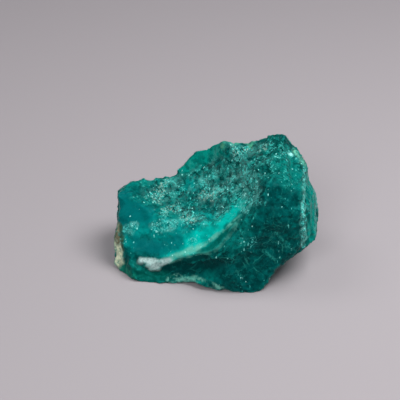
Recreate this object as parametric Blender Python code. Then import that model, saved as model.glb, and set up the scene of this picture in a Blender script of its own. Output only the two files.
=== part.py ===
"""A rough lump of translucent blue-green hauyne, broken on every side, lying on its flattest break.

The lump is made the way a real one comes about. Four blocks, each the space inside a set of flat breaks,
are grown together. Shell-shaped scars are struck off them. The broken skin is wavy, small chips fall from
its sharp edges, and a fine unevenness is left on all of it. Sizes are millimetres in the lump's own frame:
X along its length, Y away from the front, Z up, and the surface that it lies on at Z = 0.
"""

import math
import random

import bmesh
import bpy
import numpy as np
from mathutils import Matrix, Vector, kdtree, noise

MM = 0.001
SEED = 3

# The block before it is broken, and the skin that it is worked in.
ROUGH_SIDE = 90.0  # side of the block that the breaks are cut from
SPARE = 0.30  # stone added outside each break, which the chips and the unevenness take away again
GRAIN = 0.30  # width of the facets that the skin is worked in
FACES_KEPT = 9400  # triangles left on the finished lump
BASE_SLACK = 0.05  # a point this near the surface that the lump lies on is put on it

# Scars, chips and unevenness.
SCAR_RISE = 0.6  # how far a scar's ellipsoid reaches outward, as a share of the scar's length
SCAR_FINENESS = 5
WAVES = ((9.0, 0.35), (3.5, 0.30))  # width and height of each pattern that a break leaves
GRANULES = ((1.4, 0.14),)
LAYER_STEP = Vector((31.7, 17.3, 0))  # keeps one pattern from repeating another
LARGE_CHIPS = {"count": 90, "reach": (1.6, 3.6), "depth": (0.08, 0.24)}  # depth is a share of the reach
SMALL_CHIPS = {"count": 330, "reach": (0.8, 1.8), "depth": (0.10, 0.32)}
CHIP_TILT = 0.22
CHIP_RIM = 0.25  # outer share of a chip over which it fades into the skin
SHARP_ENOUGH = (0.05, 0.22)  # how far the skin falls away round an edge that a chip can leave

# The stone itself.
TEAL = (0.004, 0.118, 0.109)
BROKEN_GLOSS = 0.38
HAUYNE_IOR = 1.50

# Each break: a point that it passes through, and the way that it faces.
TALL_BLOCK = {
    "base": ((0, 0, 0), (0, 0, -1)),
    "front_left": ((0.0, -14.3, 0), (-0.16, -0.98, -0.06)),
    "front_middle": ((4.1, -14.1, 9.8), (-0.05, -0.98, 0.165)),
    "front_right": ((12.2, -15.7, 3), (0.40, -0.91, 0.03)),
    "front_upper": ((10.0, -13.0, 17.6), (0.20, -0.80, 0.56)),
    "under_right": ((14.5, -14.4, 3.9), (0.75, -0.28, -0.60)),
    "right_end": ((20.9, 0.0, 16.4), (0.96, -0.16, 0.24)),
    "right_shoulder": ((19.4, 0.0, 20.3), (0.80, -0.05, 0.60)),
    "right_top": ((18.2, 0.0, 20.8), (0.34, -0.14, 0.93)),
    "top": ((8.0, 3.0, 21.8), (0.03, -0.16, 0.98)),
    "top_left_high": ((4.2, 3.0, 21.9), (-0.43, -0.15, 0.89)),
    "top_left": ((-1.1, 3.0, 19.2), (-0.68, -0.10, 0.72)),
    "hollow_side": ((5.9, -14.0, 13.0), (-0.74, -0.42, 0.53)),
    "back_left": ((-4.2, 4.6, 16.8), (-0.64, 0.70, 0.30)),
    "back_upper": ((9.0, 3.6, 21.6), (0.10, 0.80, 0.60)),
    "back": ((8.0, 10.0, 10.0), (0.12, 0.98, 0.10)),
    "back_right": ((18.0, 3.0, 10.0), (0.64, 0.77, -0.04)),
    "back_under": ((6.0, 9.5, 3.0), (0.10, 0.80, -0.60)),
    "in_low_block": ((-9.0, 0, 0), (-1, 0, 0)),
}
PEAK = {
    "base": ((0, 0, 16.0), (0, 0, -1)),
    "in_tall_block": ((4.0, 0, 0), (-1, 0, 0)),
    "left": ((10.3, 3.0, 21.8), (-0.52, -0.05, 0.85)),
    "top": ((13.8, 2.0, 24.5), (-0.03, -0.25, 0.97)),
    "front": ((12.0, -11.8, 20.6), (0.18, -0.80, 0.56)),
    "front_low": ((12.0, -12.6, 15.0), (0.30, -0.92, 0.25)),
    "right_top": ((15.4, 2.0, 24.2), (0.66, -0.10, 0.74)),
    "right": ((16.2, 2.0, 23.1), (0.89, -0.05, 0.45)),
    "back": ((14.0, 3.2, 24.0), (0.10, 0.88, 0.46)),
}
RIGHT_SLAB = {
    "under": ((19.2, -9.0, 6.9), (0.30, 0.12, -0.95)),
    "under_right": ((21.2, -9.0, 6.9), (0.70, 0.05, -0.70)),
    "front": ((20.6, -9.9, 10.0), (0.56, -0.83, 0.05)),
    "right_low": ((22.1, -7.0, 8.4), (0.97, -0.16, -0.18)),
    "right": ((21.8, -7.0, 10.6), (0.96, -0.16, 0.21)),
    "top": ((20.6, -3.0, 16.0), (0.55, -0.12, 0.82)),
    "back": ((20.0, 0.5, 12.0), (0.40, 0.90, 0.10)),
    "in_tall_block": ((18.0, 0, 0), (-1, 0, 0)),
}
LOW_BLOCK = {
    "base": ((0, 0, 0), (0, 0, -1)),
    "left_end": ((-16.6, -3.0, 7.0), (-0.99, 0.06, -0.07)),
    "left_front": ((-15.0, -7.1, 7.0), (-0.78, -0.60, 0.15)),
    "lower_front": ((-10.2, -12.9, 0), (-0.46, -0.88, 0.02)),
    "front_slope": ((-12.8, 1.0, 14.9), (-0.30, -0.66, 0.69)),
    "left_top": ((-13.0, 1.8, 14.3), (-0.60, 0.20, 0.77)),
    "top": ((-12.8, 2.0, 14.8), (0.15, 0.14, 0.98)),
    "back_upper": ((-9.0, 4.5, 13.2), (-0.10, 0.80, 0.60)),
    "back": ((-9.0, 7.6, 7.0), (-0.12, 0.99, 0.05)),
    "back_left": ((-14.2, 6.0, 7.0), (-0.72, 0.68, 0.12)),
    "front": ((0, -13.6, 0), (-0.14, -0.99, -0.06)),
    "in_tall_block": ((6.0, 0, 0), (1, 0, 0)),
}

# Each scar: a point on the skin, the way that it faces, the way that it runs, its length, width and depth.
SCARS = {
    "front_hollow": ((-3.5, -11.2, 8.2), (-0.40, -0.62, 0.68), (0.80, -0.10, 0.50), 23.0, 12.0, 1.5),
    "under_ledge": ((-4.0, -12.7, 4.0), (-0.16, -0.98, -0.08), (0.96, -0.1, 0.22), 15.0, 5.0, 1.2),
    "granular": ((0.6, -1.4, 13.9), (-0.42, -0.38, 0.82), (0.53, -0.84, 0.05), 15.0, 8.5, 0.6),
    "base_front": ((-2.0, -12.9, 0.0), (0.0, -0.70, -0.71), (1, 0, 0.02), 11.0, 2.6, 0.5),
    "base_left": ((-14.6, -9.9, 0.0), (-0.55, -0.45, -0.70), (0.7, -0.7, 0), 4.0, 1.8, 0.3),
    "back_middle": ((7.0, 9.9, 11.0), (0.12, 0.97, 0.18), (0.7, 0, 0.7), 17.0, 8.0, 0.7),
    "back_low": ((-4.0, 8.2, 5.0), (-0.1, 0.99, 0.05), (1, 0.1, -0.45), 8.0, 4.0, 0.4),
    "back_crest": ((6.0, 6.6, 17.0), (-0.10, 0.84, 0.54), (0.9, 0.0, 0.3), 7.0, 4.0, 0.35),
    "left_face": ((-16.5, -1.0, 8.0), (-0.99, 0.0, 0.1), (0, 0.6, 0.8), 10.0, 7.0, 0.8),
    "front_dark": ((11.0, -14.4, 8.0), (0.16, -0.97, 0.05), (0.7, 0.1, 0.7), 13.0, 9.0, 0.7),
}


def broken_block(name, breaks):
    """The space inside a set of flat breaks, cut one at a time from a rough cube."""
    block = bmesh.new()
    bmesh.ops.create_cube(block, size=ROUGH_SIDE * MM)
    for label, (point, facing) in breaks.items():
        out = Vector(facing).normalized()
        spare = 0 if label == "base" else SPARE
        cut = bmesh.ops.bisect_plane(
            block,
            geom=block.verts[:] + block.edges[:] + block.faces[:],
            plane_co=(Vector(point) + out * spare) * MM,
            plane_no=out,
            clear_outer=True,
        )
        rim = [item for item in cut["geom_cut"] if isinstance(item, bmesh.types.BMEdge)]
        bmesh.ops.edgenet_fill(block, edges=rim)
    bmesh.ops.recalc_face_normals(block, faces=block.faces)
    return placed(name, block)


def placed(name, shape):
    mesh = bpy.data.meshes.new(name)
    shape.to_mesh(mesh)
    shape.free()
    obj = bpy.data.objects.new(name, mesh)
    bpy.context.scene.collection.objects.link(obj)
    return obj


def scar_cutter(name, point, facing, along, length, width, depth):
    """The ellipsoid that leaves a shell-shaped scar of this length, width and depth."""
    out = Vector(facing).normalized()
    side = out.cross(Vector(along)).normalized()
    run = side.cross(out)
    rise = SCAR_RISE * length
    share = math.sqrt(1 - (1 - depth / rise) ** 2)
    shape = bmesh.new()
    bmesh.ops.create_icosphere(shape, subdivisions=SCAR_FINENESS, radius=1.0)
    bmesh.ops.scale(shape, vec=Vector((length / 2 / share, width / 2 / share, rise)), verts=shape.verts)
    turned = Matrix((run, side, out)).transposed()
    bmesh.ops.rotate(shape, matrix=turned, verts=shape.verts)
    bmesh.ops.translate(shape, vec=Vector(point) + out * (rise - depth), verts=shape.verts)
    bmesh.ops.scale(shape, vec=(MM, MM, MM), verts=shape.verts)
    return hidden(placed(name, shape))


def hidden(obj):
    obj.hide_render = True
    obj.display_type = "WIRE"
    return obj


def boolean(obj, operation, other):
    modifier = obj.modifiers.new(other.name, "BOOLEAN")
    modifier.operation = operation
    modifier.object = other


def settle(obj):
    """Replaces the object's mesh and modifiers with the mesh that they make."""
    graph = bpy.context.evaluated_depsgraph_get()
    mesh = bpy.data.meshes.new_from_object(obj.evaluated_get(graph))
    obj.modifiers.clear()
    obj.data = mesh
    return mesh


def skin_of(obj):
    """The lump's skin in small facets of one size."""
    grid = obj.modifiers.new("grain", "REMESH")
    grid.mode = "VOXEL"
    grid.voxel_size = GRAIN * MM
    return settle(obj)


def thin_out(obj):
    obj.data.calc_loop_triangles()
    thinner = obj.modifiers.new("fewer_facets", "DECIMATE")
    thinner.ratio = FACES_KEPT / len(obj.data.loop_triangles)
    settle(obj)


def points_of(mesh):
    flat = np.empty(len(mesh.vertices) * 3)
    mesh.vertices.foreach_get("co", flat)
    return flat.reshape(-1, 3) / MM


def outward_of(mesh):
    flat = np.empty(len(mesh.vertices) * 3)
    mesh.vertex_normals.foreach_get("vector", flat)
    return flat.reshape(-1, 3)


def put_points(mesh, points):
    mesh.vertices.foreach_set("co", (points * MM).ravel())
    mesh.update()


def tree_of(points):
    tree = kdtree.KDTree(len(points))
    for index, point in enumerate(points):
        tree.insert(point, index)
    tree.balance()
    return tree


def chip(mesh, draw, count, reach, depth):
    """Flattens small areas of the sharp edges, each onto its own tilted plane."""
    points = points_of(mesh)
    outward = outward_of(mesh)
    tree = tree_of(points)
    made = 0
    while made < count:
        seed = draw.randrange(len(points))
        radius = draw.uniform(*reach)
        near = [index for _, index, _ in tree.find_range(points[seed], radius)]
        facing = outward[near].mean(axis=0)
        drop = (points[seed] - points[near]) @ facing / np.linalg.norm(facing) / radius
        if drop.mean() < draw.uniform(*SHARP_ENOUGH):
            continue
        made += 1
        facing += np.array([draw.gauss(0, CHIP_TILT) for _ in range(3)])
        facing /= np.linalg.norm(facing)
        heights = (points[near] - points[seed]) @ facing
        level = heights.max() - draw.uniform(*depth) * radius
        away = np.linalg.norm(points[near] - points[seed], axis=1) / radius
        hold = np.clip((1 - away) / CHIP_RIM, 0, 1)
        points[near] -= facing * (np.maximum(heights - level, 0) * hold)[:, None]
    put_points(mesh, points)


def roughen(mesh, layers):
    """Moves the skin in and out by noise; each layer has the width of its pattern and a height."""
    points = points_of(mesh)
    outward = outward_of(mesh)
    shift = np.zeros(len(points))
    for layer, (width, height) in enumerate(layers):
        start = LAYER_STEP * layer + Vector((0, 0, SEED))
        shift += [height * noise.noise(Vector(point) / width + start) for point in points]
    put_points(mesh, points + outward * shift[:, None])


def level_base(mesh, on_base):
    """Keeps the break that the lump lies on flat, and everything else above it."""
    points = points_of(mesh)
    points[:, 2] = np.where(on_base, 0, np.maximum(points[:, 2], 0))
    put_points(mesh, points)


def stand_at_origin(mesh):
    """Puts the origin under the middle of the lump's box, and returns how far that moved the lump."""
    points = points_of(mesh)
    move = -(points.min(axis=0) + points.max(axis=0)) / 2
    move[2] = 0
    put_points(mesh, points + move)
    return move * MM


def hauyne_material():
    material = bpy.data.materials.new("hauyne")
    material.use_nodes = True
    shader = material.node_tree.nodes["Principled BSDF"]
    shader.inputs["Base Color"].default_value = (*TEAL, 1.0)
    shader.inputs["Roughness"].default_value = BROKEN_GLOSS
    shader.inputs["Metallic"].default_value = 0.0
    shader.inputs["IOR"].default_value = HAUYNE_IOR
    return material


def hauyne():
    """The whole lump, and how far it was moved to stand at the origin."""
    lump = broken_block("hauyne", TALL_BLOCK)
    for name, breaks in (("low_block", LOW_BLOCK), ("peak", PEAK), ("right_slab", RIGHT_SLAB)):
        boolean(lump, "UNION", hidden(broken_block(name, breaks)))
    for name, scar in SCARS.items():
        boolean(lump, "DIFFERENCE", scar_cutter(name, *scar))
    mesh = skin_of(lump)
    on_base = points_of(mesh)[:, 2] < GRAIN / 2
    draw = random.Random(SEED)
    roughen(mesh, WAVES)
    chip(mesh, draw, **LARGE_CHIPS)
    chip(mesh, draw, **SMALL_CHIPS)
    roughen(mesh, GRANULES)
    level_base(mesh, on_base)
    thin_out(lump)
    level_base(lump.data, points_of(lump.data)[:, 2] < BASE_SLACK)
    lump.data.materials.append(hauyne_material())
    return stand_at_origin(lump.data)


def clear_scene():
    for obj in list(bpy.data.objects):
        bpy.data.objects.remove(obj)


clear_scene()
SHIFT = hauyne()
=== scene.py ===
import math

import bpy
import numpy as np
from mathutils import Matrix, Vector, noise
from mathutils.bvhtree import BVHTree


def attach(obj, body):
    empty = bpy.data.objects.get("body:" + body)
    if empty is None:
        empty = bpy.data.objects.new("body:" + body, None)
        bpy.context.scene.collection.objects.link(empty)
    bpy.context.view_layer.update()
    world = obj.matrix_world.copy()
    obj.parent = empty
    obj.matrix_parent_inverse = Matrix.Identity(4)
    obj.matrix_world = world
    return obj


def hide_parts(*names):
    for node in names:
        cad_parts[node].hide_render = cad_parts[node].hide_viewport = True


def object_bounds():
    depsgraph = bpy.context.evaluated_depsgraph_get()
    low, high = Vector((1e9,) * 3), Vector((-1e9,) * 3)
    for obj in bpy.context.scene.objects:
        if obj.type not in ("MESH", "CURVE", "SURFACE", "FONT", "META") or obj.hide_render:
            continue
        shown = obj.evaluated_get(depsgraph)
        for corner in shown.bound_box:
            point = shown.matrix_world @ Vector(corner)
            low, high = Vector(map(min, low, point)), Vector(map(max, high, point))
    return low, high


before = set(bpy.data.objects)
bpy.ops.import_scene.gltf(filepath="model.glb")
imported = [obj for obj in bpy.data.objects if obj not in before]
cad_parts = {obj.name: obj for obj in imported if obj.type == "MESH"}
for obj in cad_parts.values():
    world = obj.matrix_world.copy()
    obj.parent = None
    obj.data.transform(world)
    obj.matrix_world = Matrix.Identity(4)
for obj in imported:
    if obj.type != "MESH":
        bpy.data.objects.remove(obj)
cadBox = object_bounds()
print("frame loaded:", ", ".join(sorted(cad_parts)))

mm = 0.001

# The camera stands in front of the stone and looks down on it.
shot = {
    "target": (-0.0032, 0.0023, 0.0110),
    "elevation": 32.0,
    "distance": 0.300,
    "width": 0.078,   # what the picture spans at the target
    "sensor": 36.0,
    "pixels": 400,    # how many the photo has across
}

# A plain pale floor, and soft light from above.
studio = {
    "floorSize": 3.0,
    "floorColour": (166, 160, 164),
    "skyColour": (236, 238, 244),
    "skyStrength": 0.14,
    # place, power in watts, width and depth of each softbox
    "lights": {
        "overhead": ((0.12, -0.01, 0.25), 0.74, (0.18, 0.16)),
        "behindLeft": ((-0.17, 0.06, 0.30), 0.20, (0.14, 0.14)),
        "front": ((-0.08, -0.30, 0.26), 0.74, (0.20, 0.14)),
    },
}

# The lump's skin: sizes in mm. A pair is the size of a pattern and the height that it adds.
relief = {
    "fineness": 0.212,         # spacing of the finished skin's points
    "smoothing": 2,
    "waves": (2.6, 0.10),      # soft unevenness
    "ripple": (0.9, 0.035),
    "flats": (1.7, 0.30),      # small broken faces
    "grains": (1.0, 0.22),     # sugary grains
    "pits": (1.5, 0.16),
    "crust": (0.8, 0.22),      # lumps of the pale crust on the left end
    "undercut": (1.5, 0.55),   # groove below the pale lip
    "bandHeight": 0.30,
    "stepStart": 17.0,         # the right end's steps begin here, along the stone's length
    "stepWidth": 0.75,
    "stepDepth": 0.22,
    "highest": 0.22,           # no relief stands out further, or is cut deeper, than these two
    "deepest": -0.9,
    "resting": 0.03,           # points lower than this lie on the ground
    "whole": 0.5,              # height above the ground at which the relief is whole
    "lightDepth": 3.2,         # how far light comes through a thin edge
    "wear": 0.10,              # how far a fully worn edge stands out from what is round it
}

# Places on the stone, here and in the zones, are given as points in the photo, in its own pixels.
# The rim of the ledge that runs up the front, from its lower left end.
lipLine = [
    (139, 260), (147, 267), (160, 270), (170, 265), (178, 260), (186, 258), (194, 256), (203, 254),
    (211, 252), (218, 247), (224, 240), (229, 233), (234, 226), (239, 219), (244, 212), (248, 207),
    (256, 200), (268, 190), (282, 178), (300, 165),
]
lipFacing = (-0.35, -0.75, 0.55)
ledgeEnd = 13   # the ledge stands out over a groove as far as this place, and fades above it

# Where each finish lies: a line or spots, and in mm how far it reaches and how ragged its edge is.
zones = {
    "glow": {
        "line": [(172, 252), (184, 250), (195, 243), (205, 236), (214, 228), (222, 222),
                 (230, 214), (236, 208)],
        "reach": 3.2, "ragged": 1},
    "glowWide": {
        "line": [(128, 240), (138, 228), (150, 226), (160, 232), (190, 228), (200, 222),
                 (212, 214), (222, 207)],
        "reach": 3.4, "ragged": 1.4},
    "lip": {
        "line": [(172, 259), (177, 257), (182, 255), (187, 252.5), (192, 250.5), (197, 248.5)],
        "reach": 1.3, "ragged": 0.6},
    "lipThin": {
        "line": [(197, 248), (205, 244), (212, 239), (217, 235), (222, 231), (228, 226),
                 (234, 221), (240, 215)],
        "reach": 0.6, "ragged": 0.3},
    "ledgeFace": {
        "line": [(200, 252), (207, 250), (213, 246), (219, 240), (225, 233), (231, 226),
                 (237, 219)],
        "reach": 1, "ragged": 0.3},
    "rimEdge": {
        "line": [(186, 258), (194, 256), (203, 254), (211, 252), (218, 247), (224, 240),
                 (229, 233), (234, 226), (239, 219)],
        "reach": 0.5, "ragged": 0.2},
    "white": {
        "line": [(140, 260.5), (150, 261.5), (160, 263), (169, 260), (162, 264), (147, 266),
                 (157, 267), (151, 268), (157, 268)],
        "reach": 0.9, "ragged": 0.25},
    "window": {
        "line": [(141, 245), (150, 245), (160, 248), (170, 247), (177, 244)],
        "reach": 2.3, "ragged": 0.6},
    "leftSmooth": {
        "line": [(121, 198), (126, 208), (122, 220), (135, 212), (142, 215)],
        "reach": 3.4, "ragged": 0.8},
    "leftWisps": {
        "line": [(124, 230), (130, 228), (136, 226)],
        "reach": 1.1, "ragged": 0.6},
    "crustBrown": {
        "line": [(116, 228), (117, 234), (117, 239)],
        "reach": 1.5, "ragged": 0.5},
    "crustDark": {
        "line": [(121, 226), (121, 234), (122, 242), (123, 250)],
        "reach": 0.6, "ragged": 0.3},
    "crustCream": {
        "line": [(117, 244), (119, 249), (118, 254), (119, 258), (117, 261)],
        "reach": 1.9, "ragged": 0.5},
    "crustGreen": {
        "line": [(118, 263), (119, 266), (124, 271), (130, 275)],
        "reach": 1.7, "ragged": 0.7},
    "lowGreen": {
        "line": [(128, 268), (138, 274), (148, 278), (158, 279), (168, 280)],
        "reach": 2.2, "ragged": 0.7},
    "baseGlow": {
        "line": [(170, 280), (178, 279), (186, 280), (196, 282), (206, 284), (216, 287),
                 (224, 289)],
        "reach": 1.1, "ragged": 0.8},
    # painted shadow in the hollow under the ledge
    "ledgeShadow": {
        "line": [(160, 275), (172, 271), (185, 267), (198, 265), (210, 262), (222, 256)],
        "reach": 2.4, "ragged": 0.5},
    "sugar": {
        "line": [(165, 190), (195, 180), (225, 165), (255, 155), (255, 170), (235, 185),
                 (205, 200), (190, 210), (225, 205)],
        "reach": 5.4, "ragged": 2},
    "paleClump": {
        "line": [(205, 180), (215, 186), (225, 190), (235, 190), (245, 190), (254, 191),
                 (250, 180), (232, 176)],
        "reach": 3.2, "ragged": 1.6},
    "tan": {
        "spots": [(156, 199), (158, 195), (161, 190), (163, 185), (166, 180), (166, 212),
                  (172, 210), (178, 212), (184, 215), (188, 220), (206, 193), (214, 194),
                  (236, 148), (243, 150), (263.5, 146.5)],
        "reach": 1.7, "ragged": 1.2},
    "frost": {
        "spots": [(247, 176), (252, 193), (256, 198), (246, 205), (241, 196), (253.5, 192),
                  (235, 190)],
        "reach": 2.4, "ragged": 1.4},
    "clearPatch": {
        "line": [(190, 183), (194, 187), (198, 183)],
        "reach": 1.9, "ragged": 0.8},
    "darkPatch": {
        "line": [(204, 202), (210, 206), (216, 204), (220, 208)],
        "reach": 2.2, "ragged": 1},
    "darkUpper": {
        "line": [(243, 178), (249, 170), (256, 172), (262, 166), (252, 162)],
        "reach": 2.4, "ragged": 1},
    "hollowWhite": {
        "line": [(156, 226), (162, 228), (168, 226), (174, 224)],
        "reach": 1.5, "ragged": 0.8},
    "topSmoothLit": {
        "line": [(185, 168), (195, 162), (205, 155), (212, 150), (218, 146)],
        "reach": 2.6, "ragged": 0.8},
    "topRim": {
        "line": [(224, 144), (234, 143), (244, 144), (252, 144)],
        "reach": 1.2, "ragged": 0.8},
    "upperRight": {
        "line": [(246, 177), (259, 160), (275, 165), (272, 150), (280, 135), (262, 148)],
        "reach": 4.2, "ragged": 1.4},
    "rightSmoothLit": {
        "line": [(279, 160), (285, 163), (291, 166), (296, 172), (288, 182)],
        "reach": 2.2, "ragged": 0.8},
    "mottled": {
        "spots": [(281, 147), (285, 149), (289, 151), (284, 153), (290, 154)],
        "reach": 1.2, "ragged": 0.6},
    "glint": {
        "spots": [(289, 154), (290, 154), (291, 154)],
        "reach": 0.75, "ragged": 0.4},
    "cap": {
        "line": [(281, 136), (285, 138), (288, 142), (290, 146)],
        "reach": 1.4, "ragged": 0.4},
    "crest": {
        "line": [(296, 151), (299, 154), (302, 158), (304, 163), (304, 166)],
        "reach": 1.3, "ragged": 0.7},
    "band": {
        "line": [(304, 166), (304, 172), (304.5, 183), (304, 190), (304, 198), (304, 206),
                 (304, 214), (304, 222), (304, 230), (304, 238), (303, 246)],
        "reach": 1, "ragged": 0.4},
    "strip": {
        "line": [(308, 175), (313, 192), (313, 200), (313, 208), (313, 216), (313, 224),
                 (312, 232), (311, 240)],
        "reach": 2.4, "ragged": 0.4},
    "stripRim": {
        "line": [(315, 192), (316, 200), (316, 208), (316, 216), (316, 224), (315, 232)],
        "reach": 0.9, "ragged": 0.4},
    # the dark front face: its own deep teal with painted shade
    "darkFace": {
        "line": [(270, 200), (285, 200), (290, 225), (270, 225), (265, 250), (250, 262),
                 (230, 270), (240, 285), (285, 250)],
        "reach": 5.5, "ragged": 0.8},
    "faceVeins": {
        "line": [(275, 233), (283, 240), (288, 247), (275, 262), (262, 252), (244, 268),
                 (238, 262)],
        "reach": 3.4, "ragged": 1},
    "wedge": {
        "line": [(276, 233), (279, 236), (282, 239), (286, 243), (289, 247)],
        "reach": 0.55, "ragged": 0.3},
    "streak": {
        "line": [(263, 251), (267, 253), (271, 256), (275, 260)],
        "reach": 0.45, "ragged": 0.25},
    "chipsAndGlints": {
        "spots": [(234, 161), (233, 164), (253, 197), (190, 243), (193, 240), (157, 231),
                  (128, 229), (253, 240), (254, 243), (252, 245)],
        "reach": 1.1, "ragged": 0.8},
}


def standPoint():
    # Where the photo is taken from, and the ways back and up from its middle.
    tilt = math.radians(shot["elevation"])
    back = Vector((0.0, -math.cos(tilt), math.sin(tilt)))
    up = Vector((0.0, math.sin(tilt), math.cos(tilt)))
    return Vector(shot["target"]) + back * shot["distance"], back, up


def onStone(stone, picks):
    # Where places picked in the photo lie on the stone, in mm.
    eye, back, up = standPoint()
    half = 0.5 * shot["pixels"]
    pixel = shot["width"] / shot["pixels"] / shot["distance"]
    found = []
    for across, down in picks:
        ray = Vector(((across - half) * pixel, 0.0, 0.0)) - up * (down - half) * pixel - back
        place = stone.ray_cast(eye, ray.normalized())[0]
        if place is None:   # a pick just off the outline goes to the nearest place on it
            place = stone.find_nearest(eye + ray * shot["distance"])[0]
        found.append(np.array(place) / mm)
    return np.array(found)


def treeOf(mesh):
    return BVHTree.FromPolygons([v.co for v in mesh.vertices], [tuple(f.vertices) for f in mesh.polygons])


def smoothRise(values, low, high):
    t = np.clip((values - low) / (high - low), 0.0, 1.0)
    return t * t * (3.0 - 2.0 * t)


def fractal(places, size, octaves=3, seed=0.0):
    # Soft noise, roughly -1 to 1, at each place.
    shift = Vector((13.7, 7.3, 3.1)) * seed
    return np.array([noise.fractal(p / size + shift, 0.9, 2.0, octaves) for p in places])


def brokenFlats(places, size, seed=0.0):
    # Small crystal faces: each cell is a little plane with its own tilt and level.
    shift = Vector((5.1, 17.9, 9.7)) * seed
    heights = np.empty(len(places))
    for i, p in enumerate(places):
        spot = p / size + shift
        centre = noise.voronoi(spot)[1][0]
        tilt = noise.cell_vector(centre * 91.7) - Vector((0.5, 0.5, 0.5))
        heights[i] = (spot - centre).dot(tilt) * 1.6 + (noise.cell(centre * 57.3) - 0.5) * 0.5
    return heights


def cellDistance(places, size, seed=0.0):
    shift = Vector((3.3, 1.7, 8.8)) * seed
    return np.array([noise.voronoi(p / size + shift)[0][0] for p in places])


def lineDistance(points, line):
    # Distance of every point from a line through the given places, and which side of it they lie on.
    best = np.full(len(points), 1e9)
    side = np.zeros(len(points))
    facing = np.array(lipFacing)
    for start, end in zip(line[:-1], line[1:]):
        run = end - start
        along = np.clip((points - start) @ run / (run @ run), 0.0, 1.0)
        offset = points - start - along[:, None] * run
        distance = np.linalg.norm(offset, axis=1)
        nearer = distance < best
        turn = np.cross(run / np.linalg.norm(run), offset) @ facing
        best[nearer] = distance[nearer]
        side[nearer] = turn[nearer]
    return best, side


def zoneShare(points, wobble, zone, stone):
    # 1 in the heart of a zone and 0 outside it, with a ragged edge.
    if "line" in zone:
        distance = lineDistance(points, onStone(stone, zone["line"]))[0]
    else:
        spots = onStone(stone, zone["spots"])
        distance = np.min([np.linalg.norm(points - spot, axis=1) for spot in spots], axis=0)
    distance = distance + wobble * zone["ragged"]
    return 1.0 - smoothRise(distance, 0.35 * zone["reach"], zone["reach"])


def fineSkin(node):
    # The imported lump's own shape with evenly spaced points.
    mesh = node.data.copy()
    lump = bpy.data.objects.new("hauyneLump", mesh)
    bpy.context.scene.collection.objects.link(lump)
    weld = lump.modifiers.new("weld", "WELD")
    weld.merge_threshold = 0.002 * mm
    remesh = lump.modifiers.new("remesh", "REMESH")
    remesh.mode = "VOXEL"
    remesh.voxel_size = relief["fineness"] * mm
    remesh.adaptivity = 0.0
    graph = bpy.context.evaluated_depsgraph_get()
    fine = bpy.data.meshes.new_from_object(lump.evaluated_get(graph))
    lump.modifiers.clear()
    lump.data = fine
    lump.data.name = "hauyneLump"
    return lump


def edgesOf(mesh):
    pairs = np.empty(len(mesh.edges) * 2, np.int64)
    mesh.edges.foreach_get("vertices", pairs)
    return pairs.reshape(-1, 2)


def spread(values, pairs, count):
    # Each point takes the mean of its neighbours.
    total = np.zeros_like(values)
    number = np.bincount(pairs.ravel(), minlength=count).astype(float)
    for a, b in ((0, 1), (1, 0)):
        if values.ndim == 1:
            total += np.bincount(pairs[:, a], values[pairs[:, b]], count)
        else:
            for axis in range(3):
                total[:, axis] += np.bincount(pairs[:, a], values[pairs[:, b], axis], count)
    return total / (number if values.ndim == 1 else number[:, None])


def pointsOf(mesh):
    flat = np.empty(len(mesh.vertices) * 3)
    mesh.vertices.foreach_get("co", flat)
    return flat.reshape(-1, 3) / mm


def normalsOf(mesh):
    flat = np.empty(len(mesh.vertices) * 3)
    mesh.vertices.foreach_get("normal", flat)
    return flat.reshape(-1, 3)


def putPoints(mesh, points):
    mesh.vertices.foreach_set("co", (points * mm).ravel())
    mesh.update()


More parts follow.
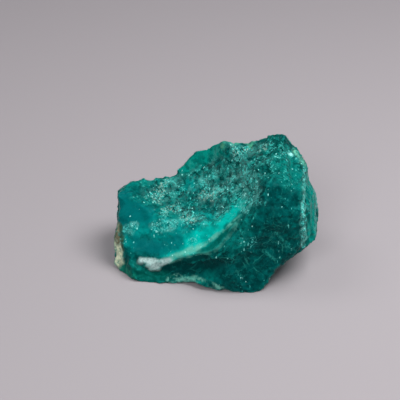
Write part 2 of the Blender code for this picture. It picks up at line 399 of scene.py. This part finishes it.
def giveRelief(lump, stone):
    # Works the relief into the skin, and gives back where each finish lies on it.
    mesh = lump.data
    pairs = edgesOf(mesh)
    points = pointsOf(mesh)
    count = len(points)
    resting = points[:, 2] < relief["resting"]
    for _ in range(relief["smoothing"]):
        points = 0.5 * points + 0.5 * spread(points, pairs, count)
        points[resting, 2] = 0.0
    putPoints(mesh, points)
    facing = normalsOf(mesh)
    for _ in range(3):
        facing = spread(facing, pairs, count)
    facing /= np.linalg.norm(facing, axis=1)[:, None] + 1e-9

    places = [Vector(p) for p in points]
    wobble = fractal(places, 2.2, 3, seed=4.0)
    shares = {name: zoneShare(points, wobble, zone, stone) for name, zone in zones.items()}
    ledge = onStone(stone, lipLine)
    lipSide = lineDistance(points, ledge)[1]
    ledgeDistance = lineDistance(points, ledge[:ledgeEnd])[0]
    shares["above"] = smoothRise(lipSide, -0.25, 0.35)
    unseen = 1.0 - np.max([shares[name] for name in zones], axis=0)
    shares["unseen"] = unseen * smoothRise(fractal(places, 7.0, 3, seed=8.0), -0.25, 0.15)
    smooth = np.clip(shares["leftSmooth"] + shares["window"] + shares["topSmoothLit"] + shares["glow"], 0, 1)
    rough = np.clip(shares["sugar"] + shares["tan"] + shares["crest"] + 0.7 * shares["upperRight"]
                    + 0.8 * shares["unseen"], 0, 1)
    rough *= 1 - 0.8 * smooth

    size, height = relief["waves"]
    lift = height * fractal(places, size, 3, seed=1.0) * (1 - 0.5 * smooth)
    size, height = relief["ripple"]
    lift += height * fractal(places, size, 3, seed=2.0) * (1 - 0.5 * smooth)
    size, height = relief["flats"]
    lift += height * brokenFlats(places, size, seed=1.0) * (0.30 + 0.7 * rough) * (1 - 0.7 * smooth)
    size, height = relief["grains"]
    lift += height * brokenFlats(places, size, seed=2.0) * (0.15 + 0.85 * rough) * (1 - 0.8 * smooth)
    size, height = relief["pits"]
    pit = 1.0 - smoothRise(cellDistance(places, size, seed=1.0), 0.10, 0.34)
    lift -= height * pit * (0.25 + 0.75 * shares["darkFace"]) * (1 - smooth)

    reach, depth = relief["undercut"]
    below = (1 - shares["above"]) * (1 - smoothRise(ledgeDistance, 0.4 * reach, reach))
    lift -= depth * below * (1 - shares["white"])
    lift += relief["bandHeight"] * shares["band"] * (0.4 + 0.9 * fractal(places, 0.8, 2, seed=5.0))
    across = points[:, 0] - relief["stepStart"] + 0.3 * fractal(places, 3.0, 2, seed=6.0)
    step = np.floor(np.clip(across, 0.0, 9.0) / relief["stepWidth"])
    lift -= relief["stepDepth"] * np.where(step % 2 == 1, 1.0, 0.0) * shares["strip"]
    size, height = relief["crust"]
    crust = np.clip(shares["crustBrown"] + shares["crustCream"], 0.0, 1.0)
    lift += height * crust * fractal(places, size, 3, seed=7.0)

    # Where the lump already reaches its box, the whole relief is sunk so that nothing sticks out.
    low, high = (np.array(corner) / mm for corner in cadBox)
    lift = np.clip(lift, relief["deepest"], relief["highest"])
    gap = np.where(facing > 0, high - points, points - low) / np.maximum(np.abs(facing), 0.02)
    room = np.min(gap[:, :2], axis=1)
    room = np.where(facing[:, 2] > 0, np.minimum(room, gap[:, 2]), room)
    lift -= np.clip(relief["highest"] - room, 0.0, relief["highest"])
    lift *= smoothRise(points[:, 2], relief["resting"], relief["whole"])
    points = points + facing * lift[:, None]
    points = np.clip(points, low + 0.002, high - 0.002)
    points[resting, 2] = 0.0
    putPoints(mesh, points)
    return shares


def thinness(mesh):
    # 1 where the stone is a thin edge that light comes through, 0 where it is thick.
    start, longest = 0.25 * mm, 30.0 * mm
    tree = treeOf(mesh)
    depth = np.empty(len(mesh.vertices))
    for i, vertex in enumerate(mesh.vertices):
        inward = -vertex.normal
        hit = tree.ray_cast(vertex.co + inward * start, inward, longest)
        depth[i] = hit[3] / mm if hit[0] is not None else 0.0
    return np.exp(-depth / relief["lightDepth"])


def edgeWear(mesh):
    # Positive on broken edges, negative in hollows, at most 1.
    pairs = edgesOf(mesh)
    points = wide = pointsOf(mesh)
    for _ in range(5):
        wide = spread(wide, pairs, len(points))
    standing = np.einsum("ij,ij->i", points - wide, normalsOf(mesh))
    return np.clip(standing / relief["wear"], -1.0, 1.0)


def keepShare(mesh, name, values):
    layer = mesh.attributes.new(name, "FLOAT", "POINT")
    layer.data.foreach_set("value", np.asarray(values, np.float32))


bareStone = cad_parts["hauyne"]
lump = fineSkin(bareStone)
print("skin:", len(lump.data.vertices), "points,", 2 * len(lump.data.polygons), "triangles")
shares = giveRelief(lump, treeOf(bareStone.data))
print("relief done")
shares["thin"] = thinness(lump.data)
shares["edge"] = edgeWear(lump.data)
for name, values in shares.items():
    keepShare(lump.data, name, values)
print("zones laid out:", ", ".join(shares))

# Colours as a screen shows them, 0 to 255, and the sizes in mm of what the stone's surface shows.
finish = {
    "deep": (0, 78, 76),
    "mid": (0, 116, 108),
    "clear": (8, 142, 128),
    "window": (0, 100, 102),
    "glow": (0, 190, 176),
    "haze": (104, 172, 164),
    "glowWide": (0, 142, 136),
    "upperSlopeLit": (0, 136, 122),
    "upperRight": (0, 76, 68),
    "rightSlopeLit": (0, 116, 108),
    "lip": (104, 186, 168),
    "ledgeFace": (0, 96, 86),
    "white": (178, 206, 202),
    "sugar": (20, 144, 134),
    "sugarDark": (0, 46, 44),
    "paleClump": (76, 170, 160),
    "tan": (156, 190, 176),
    "crustBrown": (124, 118, 92),
    "crustDark": (44, 78, 56),
    "crustCream": (226, 234, 200),
    "crustGreen": (16, 120, 98),
    "lowGreen": (0, 80, 70),
    "dark": (0, 86, 84),
    "darker": (0, 58, 58),
    "ledgeShadow": (0, 52, 52),
    "baseGlow": (104, 176, 160),
    "band": (124, 200, 190),
    "strip": (6, 138, 126),
    "crest": (116, 196, 166),
    "topRim": (80, 160, 126),
    "fleck": (84, 208, 198),
    "faintFleck": (40, 150, 138),
    "whiteFleckAndGlint": (160, 242, 234),
    "vein": (40, 134, 122),
    "cloudSize": 5.0,
    "clumpSize": 1.7,
    "mosaicSize": 0.85,
    "grainSize": 0.42,
    "dotSize": 0.50,
    # Flecks: how a set is turned, how long its dashes are and how common they are.
    "dashes": [((0.0, 0.0, 0.0), 1.0, 0.9), ((0.9, 0.3, 0.0), 3.4, 0.8), ((-0.7, 0.9, 0.5), 3.8, 0.8),
               ((0.2, -1.0, 0.8), 3.4, 0.8)],
    "wispSize": 1.1,
    "veinSize": 3.2,
    "smoothGloss": 0.30,
    "roughGloss": 0.52,
    "shine": 0.08,
    "shineTint": [0.10, 1.0, 0.95, 1.0],   # a plain factor for each colour, not a screen colour
    "innerGlow": 0.20,
    "innerReach": 0.6,
}


def linear(colour):
    values = [c / 255.0 for c in colour]
    return [c / 12.92 if c <= 0.04045 else ((c + 0.055) / 1.055) ** 2.4 for c in values] + [1.0]


class Painter:
    # Lays out shader nodes: each call makes a node and gives back its output.
    def __init__(self, tree, tones):
        self.tree = tree
        self.tones = tones
        self.colour = None

    def put(self, socket, value):
        if isinstance(value, bpy.types.NodeSocket):
            self.tree.links.new(value, socket)
        else:
            socket.default_value = value

    def make(self, kind, inputs=None, **settings):
        made = self.tree.nodes.new(kind)
        for name, value in settings.items():
            setattr(made, name, value)
        for name, value in (inputs or {}).items():
            self.put(made.inputs[name], value)
        return made

    def mask(self, name):
        return self.make("ShaderNodeAttribute", attribute_name=name).outputs["Fac"]

    def reckon(self, operation, first, second=0.0, third=0.0):
        return self.make("ShaderNodeMath", {0: first, 1: second, 2: third}, operation=operation).outputs[0]

    def joined(self, operation, values):
        # A value given as a name is the zone of that name.
        values = [self.mask(value) if isinstance(value, str) else value for value in values]
        total = values[0]
        for value in values[1:]:
            total = self.reckon(operation, total, value)
        return total

    def times(self, *values):
        return self.joined("MULTIPLY", values)

    def most(self, *values):
        return self.joined("MAXIMUM", values)

    def rest(self, *values):
        return self.reckon("SUBTRACT", 1.0, self.times(*values))

    def rise(self, value, low, high):
        made = self.make("ShaderNodeMapRange", {"Value": value, "From Min": low, "From Max": high},
                         interpolation_type="SMOOTHSTEP")
        return made.outputs["Result"]

    def blend(self, share, first, second):
        made = self.make("ShaderNodeMix", {0: share, 6: first, 7: second}, data_type="RGBA")
        return made.outputs[2]

    def coat(self, tone, *shares):
        # Lays a tone over the colour so far, as thick as its shares multiplied.
        tone = self.tones[tone] if isinstance(tone, str) else tone
        self.colour = self.blend(self.times(*shares), self.colour, tone)

    def moved(self, operation, spot, by):
        return self.make("ShaderNodeVectorMath", {0: spot, 1: by}, operation=operation).outputs[0]

    def cloud(self, spot, size, detail=3.0, roughness=0.55, seed=0.0):
        place = self.moved("ADD", spot, (seed, seed * 0.7, seed * 1.3))
        made = self.make("ShaderNodeTexNoise", {"Vector": place, "Scale": 1.0 / (size * mm),
                                                "Detail": detail, "Roughness": roughness})
        return made.outputs["Fac"]

    def warped(self, spot, size, by):
        # The same places, pushed about by noise, for ragged shapes.
        made = self.make("ShaderNodeTexNoise", {"Vector": spot, "Scale": 1.0 / (size * mm), "Detail": 2.0})
        push = self.moved("SUBTRACT", made.outputs["Color"], (0.5, 0.5, 0.5))
        return self.moved("ADD", spot, self.moved("MULTIPLY", push, (by * mm, by * mm, by * mm)))

    def cells(self, spot, size, feature="F1"):
        settings = {"Vector": spot, "Scale": 1.0 / (size * mm)}
        return self.make("ShaderNodeTexVoronoi", settings, feature=feature)

    def crystals(self, spot, size):
        # Small crystal faces: a tone for each, 0 to 1, and the height of its tilted face.
        found = self.cells(spot, size)
        tone = self.make("ShaderNodeSeparateColor", {"Color": found.outputs["Color"]}).outputs[0]
        offset = self.moved("SUBTRACT", spot, found.outputs["Position"])
        offset = self.moved("DIVIDE", offset, (size * mm, size * mm, size * mm))
        tilt = self.moved("SUBTRACT", found.outputs["Color"], (0.5, 0.5, 0.5))
        height = self.make("ShaderNodeVectorMath", {0: offset, 1: tilt}, operation="DOT_PRODUCT")
        return tone, height.outputs["Value"]

    def dots(self, spot, size, radius, crowd, turn=(0.0, 0.0, 0.0), stretch=1.0):
        # Crisp points, or short dashes if stretched: more of them where it is crowded.
        scale = (1.0, 1.0, 1.0 / stretch)
        place = self.make("ShaderNodeMapping", {"Vector": spot, "Rotation": turn, "Scale": scale})
        found = self.cells(place.outputs["Vector"], size)
        chance = self.make("ShaderNodeSeparateColor", {"Color": found.outputs["Color"]})
        kept = self.rise(self.reckon("SUBTRACT", crowd, chance.outputs[0]), 0.0, 0.012)
        dot = self.rise(found.outputs["Distance"], radius, 0.45 * radius)
        return self.times(kept, dot), chance.outputs[1]

    def wisps(self, spot, size, width, seed):
        # Thin curved lines along the middle level of a noise, broken up by another.
        level = self.reckon("ABSOLUTE", self.reckon("SUBTRACT", self.cloud(spot, size, 1.0, 0.5, seed), 0.5))
        broken = self.rise(self.cloud(spot, 0.7 * size, 1.0, 0.5, seed + 0.4), 0.52, 0.60)
        return self.times(self.rise(level, width, 0.3 * width), broken)


def stoneMaterial():
    material = bpy.data.materials.new("hauyneTeal")
    material.use_nodes = True
    skin = material.node_tree.nodes["Principled BSDF"]
    tones = {name: linear(value) for name, value in finish.items() if isinstance(value, tuple)}
    paint = Painter(material.node_tree, tones)
    spot = paint.make("ShaderNodeTexCoord").outputs["Object"]
    ragged = paint.warped(spot, 0.45, 0.35)
    frayed = paint.warped(ragged, 0.22, 0.16)
    bent = paint.warped(spot, 2.4, 1.4)
    clump = paint.cloud(spot, finish["clumpSize"], 4.0, 0.65, seed=0.31)
    grain = paint.cloud(spot, finish["grainSize"], 2.0, 0.6, seed=0.57)
    facet, facetHeight = paint.crystals(ragged, finish["mosaicSize"])
    chip, chipHeight = paint.crystals(ragged, 0.5 * finish["mosaicSize"])
    aboveLip = paint.mask("above")
    calm = paint.most("clearPatch", paint.times("darkPatch", 0.6), "topSmoothLit")
    granular = paint.most("sugar", "tan", "band", "crest", paint.times("upperRight", 0.8),
                          paint.times("unseen", 0.8))
    granular = paint.times(granular, paint.rest(calm, 0.7))

    # Body colour: deep teal with clearer clouds, and painted light where the stone is thin, as light comes
    # through its thin edges.
    cloud = paint.rise(paint.cloud(spot, finish["cloudSize"], 4.0, 0.6), 0.36, 0.66)
    paint.colour = paint.blend(cloud, tones["deep"], tones["mid"])
    paint.coat("clear", paint.rise(paint.mask("thin"), 0.12, 0.85))
    # The dark front face, mottled: partly its own deep teal and partly painted shade, as it faces away from
    # the light.
    mottle = paint.rise(paint.cloud(bent, 1.6, 4.0, 0.65, seed=1.7), 0.40, 0.62)
    paint.coat(paint.blend(mottle, tones["darker"], tones["dark"]), "darkFace")
    # Painted light: a wide faint glow above the ledge's rim, where light shines through the thin ledge.
    paint.coat("glowWide", "glowWide", aboveLip, 0.85)
    paint.coat("window", "leftSmooth", 0.8)
    # Painted light: the smooth upper slope lighter, as the light from above falls on it.
    paint.coat("upperSlopeLit", "topSmoothLit", 0.8)
    paint.coat("upperRight", "upperRight", 0.75)
    # Painted light: the smooth face at the right lighter, as it catches the light.
    paint.coat("rightSlopeLit", "rightSmoothLit", 0.8)
    # Painted light: the bright glow just above the ledge's rim, broken up by clouds.
    inner = paint.rise(paint.cloud(bent, 1.8, 3.0, 0.6, seed=9.7), 0.30, 0.60)
    heart = paint.times(paint.rise(paint.mask("glow"), 0.1, 1.2), aboveLip)
    paint.coat("glow", heart, paint.reckon("MULTIPLY_ADD", inner, 0.45, 0.55))
    paint.coat("window", "window", 0.85)
    paint.coat("deep", paint.most("darkPatch", "darkUpper"), 0.8)
    paint.coat("glowWide", "clearPatch", 0.8)

    # The sugary skin: crystal faces, some dark and some pale, in soft clumps, partly their own tone and
    # partly painted light, as each face catches the light differently.
    clumped = paint.rise(clump, 0.40, 0.62)
    darkFaces = paint.most(paint.rise(facet, 0.42, 0.22), paint.rise(chip, 0.26, 0.12))
    paleFaces = paint.most(paint.rise(facet, 0.62, 0.86), paint.rise(chip, 0.72, 0.90))
    paint.coat("sugarDark", granular, darkFaces, 0.8)
    paint.coat("sugar", granular, clumped, paleFaces, 0.8)
    pale = paint.most("paleClump", "hollowWhite", "leftWisps", "frost")
    paint.coat("paleClump", pale, clumped, paint.rise(chip, 0.30, 0.80), 0.75)
    haze = paint.rise(paint.cloud(bent, 2.2, 5.0, 0.7, seed=2.9), 0.44, 0.66)
    paint.coat("haze", paint.most(pale, paint.times("sugar", 0.5)), haze, 0.65)
    paint.coat("tan", "tan", paint.rise(grain, 0.44, 0.58), paint.rise(chip, 0.35, 0.70), 0.8)

    # The pale lip, the white patch under its left end, and painted shadow in the hollow below it.
    paint.coat("ledgeShadow", "ledgeShadow", paint.rest(aboveLip))
    patchy = paint.rise(clump, 0.34, 0.58)
    paint.coat("lip", "lip", patchy, 0.85)
    paint.coat("ledgeFace", "ledgeFace", 0.8)
    paint.coat("lip", "lipThin", patchy, 0.7)
    paint.coat("lip", "rimEdge", patchy, 0.35)
    paint.coat("lowGreen", "lowGreen", 0.9)
    paint.coat("white", "white", paint.reckon("MULTIPLY_ADD", paint.rise(grain, 0.35, 0.60), 0.35, 0.65))
    # Painted light along the thin base edge, where light comes through it, and a paler rim along the top.
    for name in ("baseGlow", "topRim"):
        paint.coat(name, name, paint.rise(clump, 0.42, 0.58))

    # The crust on the left end: brown above, cream in the middle and green below.
    for name in ("crustGreen", "crustCream", "crustBrown", "crustDark"):
        paint.coat(name, name, patchy)

    # The right end: its crushed band, the lighter strip beyond it, the pale crust on its crest
    # and the dark cap of the peak.
    paint.coat("strip", "strip", 0.8)
    broken = paint.rise(paint.cloud(ragged, 0.9, 3.0, 0.7, seed=6.1), 0.42, 0.60)
    paint.coat("band", "stripRim", broken, 0.5)
    paint.coat("band", "band", paint.reckon("MULTIPLY_ADD", broken, 0.8, 0.1))
    paint.coat("crest", "crest", paint.reckon("MULTIPLY_ADD", broken, 0.6, 0.4))
    paint.coat("darker", "cap", 0.8)

    # Small faces a little darker or lighter than their neighbours, partly their own tone and partly painted
    # light, as each face catches the light differently.
    lively = paint.rest(paint.most("glow", "window", "leftSmooth", "white"), 0.85)
    paint.coat("darker", paint.rise(facet, 0.40, 0.10), lively, 0.35)
    paint.coat("darker", paint.rise(chip, 0.30, 0.05), lively, 0.18)
    paint.coat("mid", paint.rise(facet, 0.75, 0.95), lively, 0.20)

    # Healed cracks, two pale streaks and light broken edges.
    edges = paint.cells(bent, finish["veinSize"], "DISTANCE_TO_EDGE").outputs["Distance"]
    seen = paint.rise(paint.cloud(spot, 2.6, 3.0, 0.6, seed=0.83), 0.46, 0.62)
    healed = paint.reckon("ADD", 0.2, paint.times("faceVeins", 0.5))
    paint.coat("vein", paint.rise(edges, 0.045, 0.0), seen, healed)
    paint.coat("faintFleck", paint.most("wedge", "streak"), paint.rise(grain, 0.36, 0.58), 0.7)
    paint.coat("sugar", paint.rise(paint.mask("edge"), 0.25, 1.0), 0.4)

    # Pale flecks and threads, dense in the sugary skin and sparse on the dark faces; the flecks are partly
    # pale grains and partly painted glints off tiny crystal faces.
    crowd = paint.most(paint.times("sugar", paint.rise(clump, 0.46, 0.62)), paint.times("tan", 0.9), "band",
                       "hollowWhite", "leftWisps", "mottled", "frost", paint.times("paleClump", clumped),
                       paint.times("crest", 0.5), paint.times("upperRight", paint.rise(clump, 0.50, 0.64)))
    crowd = paint.times(crowd, paint.rest(calm, 0.6))
    crowd = paint.most(crowd, "chipsAndGlints", paint.times("unseen", clumped, 0.5))
    onDark = paint.times("darkFace", paint.rise(paint.cloud(spot, 3.4, 2.0, 0.6, seed=4.4), 0.44, 0.58))
    sparse = paint.most("darkFace", "upperRight", granular, paint.times("glow", 2.2),
                        paint.times("glowWide", 1.6), paint.times("rightSmoothLit", 1.6))
    faint = paint.rise(paint.cloud(ragged, 0.45, 2.0, 0.7, seed=7.9), 0.56, 0.66)
    faintly = paint.most(crowd, paint.times(granular, 0.45), paint.times(onDark, 0.5), "rightSmoothLit")
    paint.coat("faintFleck", faint, faintly, 0.6)
    thread = paint.most(paint.wisps(bent, finish["wispSize"], 0.045, 4.1),
                        paint.wisps(ragged, 0.8, 0.055, 5.3), paint.wisps(frayed, 0.55, 0.065, 6.2))
    paint.coat("fleck", thread, paint.rise(crowd, 0.1, 0.8), 0.75)
    veiny = paint.most(paint.wisps(bent, 2.2, 0.020, 6.7), paint.wisps(bent, 1.3, 0.030, 8.9))
    paint.coat("vein", veiny, "faceVeins", 0.4)
    common = paint.reckon("ADD", paint.times(crowd, 0.34), paint.times(sparse, 0.06))
    for turn, stretch, portion in finish["dashes"]:
        crowded = paint.times(common, portion)
        dot, strength = paint.dots(frayed, finish["dotSize"], 0.31, crowded, turn, stretch)
        shade = paint.blend(paint.rise(strength, 0.4, 1.0), tones["fleck"], tones["whiteFleckAndGlint"])
        paint.coat(shade, dot, paint.rise(strength, -0.5, 0.9))
    # Painted highlight: a small white glint near the peak.
    paint.coat("whiteFleckAndGlint", "glint", paint.rise(grain, 0.30, 0.50))
    paint.put(skin.inputs["Base Color"], paint.colour)

    gloss = paint.make("ShaderNodeMix", {0: granular, 2: finish["smoothGloss"], 3: finish["roughGloss"]})
    uneven = paint.times(paint.reckon("SUBTRACT", chip, 0.5), 0.25)
    paint.put(skin.inputs["Roughness"], paint.reckon("ADD", gloss.outputs[0], uneven))
    skin.inputs["IOR"].default_value = 1.50
    skin.inputs["Specular IOR Level"].default_value = finish["shine"]
    skin.inputs["Specular Tint"].default_value = finish["shineTint"]
    skin.inputs["Subsurface Weight"].default_value = finish["innerGlow"]
    skin.inputs["Subsurface Radius"].default_value = (1.0, 1.0, 1.0)
    skin.inputs["Subsurface Scale"].default_value = finish["innerReach"] * mm

    # The grain that is too fine for the skin's points.
    faces = paint.reckon("ADD", facetHeight, paint.times(chipHeight, 0.6))
    faces = paint.times(faces, paint.reckon("ADD", 0.15, paint.times(granular, 0.85)))
    raised = paint.reckon("ADD", faces, paint.times(clump, 0.4))
    bump = paint.make("ShaderNodeBump", {"Height": raised, "Strength": 0.8, "Distance": 0.35 * mm})
    paint.put(skin.inputs["Normal"], bump.outputs["Normal"])
    return material


lump.data.materials.clear()
lump.data.materials.append(stoneMaterial())
lump.data.shade_smooth()
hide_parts("hauyne")
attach(lump, "root")
print("stone finished")


def makeFloor():
    half = studio["floorSize"] / 2
    sheet = bpy.data.meshes.new("floor")
    corners = [(-half, -half, 0), (half, -half, 0), (half, half, 0), (-half, half, 0)]
    sheet.from_pydata(corners, [], [(0, 1, 2, 3)])
    floor = bpy.data.objects.new("floor", sheet)
    bpy.context.scene.collection.objects.link(floor)
    material = bpy.data.materials.new("paleFloor")
    material.use_nodes = True
    surface = material.node_tree.nodes["Principled BSDF"]
    surface.inputs["Base Color"].default_value = linear(studio["floorColour"])
    surface.inputs["Roughness"].default_value = 0.85
    surface.inputs["Specular IOR Level"].default_value = 0.2
    sheet.materials.append(material)


def makeLights():
    for name, (place, power, size) in studio["lights"].items():
        light = bpy.data.lights.new(name, "AREA")
        light.shape = "RECTANGLE"
        light.energy = power
        light.size, light.size_y = size
        lamp = bpy.data.objects.new(name, light)
        bpy.context.scene.collection.objects.link(lamp)
        lamp.location = place
        lamp.rotation_euler = Vector(place).to_track_quat("Z", "Y").to_euler()
    world = bpy.data.worlds.new("softSky")
    bpy.context.scene.world = world
    world.use_nodes = True
    sky = world.node_tree.nodes["Background"]
    sky.inputs["Color"].default_value = linear(studio["skyColour"])
    sky.inputs["Strength"].default_value = studio["skyStrength"]


def makeCamera():
    eye, back, _ = standPoint()
    data = bpy.data.cameras.new("camera")
    data.sensor_width = shot["sensor"]
    data.lens = shot["sensor"] * shot["distance"] / shot["width"]
    data.clip_start = 0.01
    camera = bpy.data.objects.new("camera", data)
    bpy.context.scene.collection.objects.link(camera)
    camera.location = eye
    camera.rotation_euler = back.to_track_quat("Z", "Y").to_euler()
    bpy.context.scene.camera = camera


makeFloor()
makeLights()
makeCamera()
bpy.context.scene.view_settings.view_transform = "Standard"
print("floor, lights and camera set")
